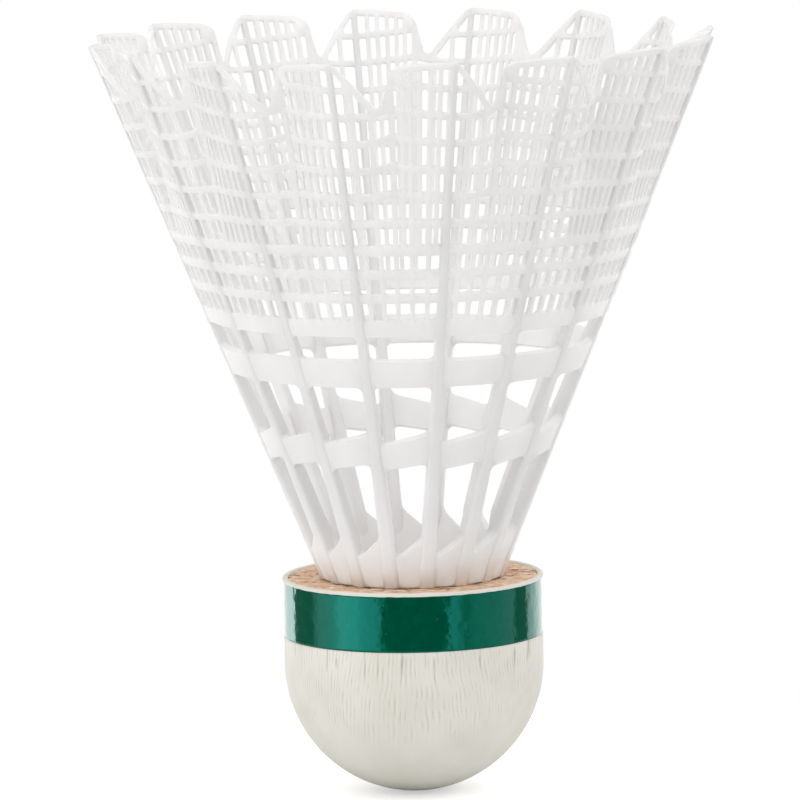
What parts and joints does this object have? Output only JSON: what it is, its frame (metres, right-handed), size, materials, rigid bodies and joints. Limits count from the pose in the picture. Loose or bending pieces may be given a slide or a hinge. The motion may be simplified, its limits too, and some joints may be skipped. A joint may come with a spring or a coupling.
{
  "type": "badminton shuttlecock",
  "caption": "Badminton shuttlecock: a covered natural cork head with a tape band, and a flared moulded nylon skirt of stems, rings and net panels that slows it in flight.",
  "frame": {"origin": "lowest point of the head's round nose, on the axis", "axes": "+Z along the axis from the nose to the skirt's mouth; -Y is the front; the first stem stands 9.2 degrees from -Y towards +X"},
  "size_m": [0.0648, 0.0648, 0.0787],
  "materials": {
    "cork": "natural cork, cut and sanded",
    "skin": "matt coated leather-like skin with fine creases",
    "tape": "glossy film tape",
    "nylon": "moulded natural white nylon, slightly see-through"
  },
  "bodies": {
    "root": {"cork_core": "cork", "head_cover": "skin", "base_band": "tape", "skirt_collar": "nylon", "skirt_lower_ring": "nylon", "skirt_middle_ring": "nylon", "skirt_stem_01": "nylon", "skirt_stem_02": "nylon", "skirt_stem_03": "nylon", "skirt_stem_04": "nylon", "skirt_stem_05": "nylon", "skirt_stem_06": "nylon", "skirt_stem_07": "nylon", "skirt_stem_08": "nylon", "skirt_stem_09": "nylon", "skirt_stem_10": "nylon", "skirt_stem_11": "nylon", "skirt_stem_12": "nylon", "skirt_stem_13": "nylon", "skirt_stem_14": "nylon", "skirt_stem_15": "nylon", "skirt_stem_16": "nylon", "net_panel_01": "nylon", "net_panel_02": "nylon", "net_panel_03": "nylon", "net_panel_04": "nylon", "net_panel_05": "nylon", "net_panel_06": "nylon", "net_panel_07": "nylon", "net_panel_08": "nylon", "net_panel_09": "nylon", "net_panel_10": "nylon", "net_panel_11": "nylon", "net_panel_12": "nylon", "net_panel_13": "nylon", "net_panel_14": "nylon", "net_panel_15": "nylon", "net_panel_16": "nylon"}
  },
  "joints": []
}
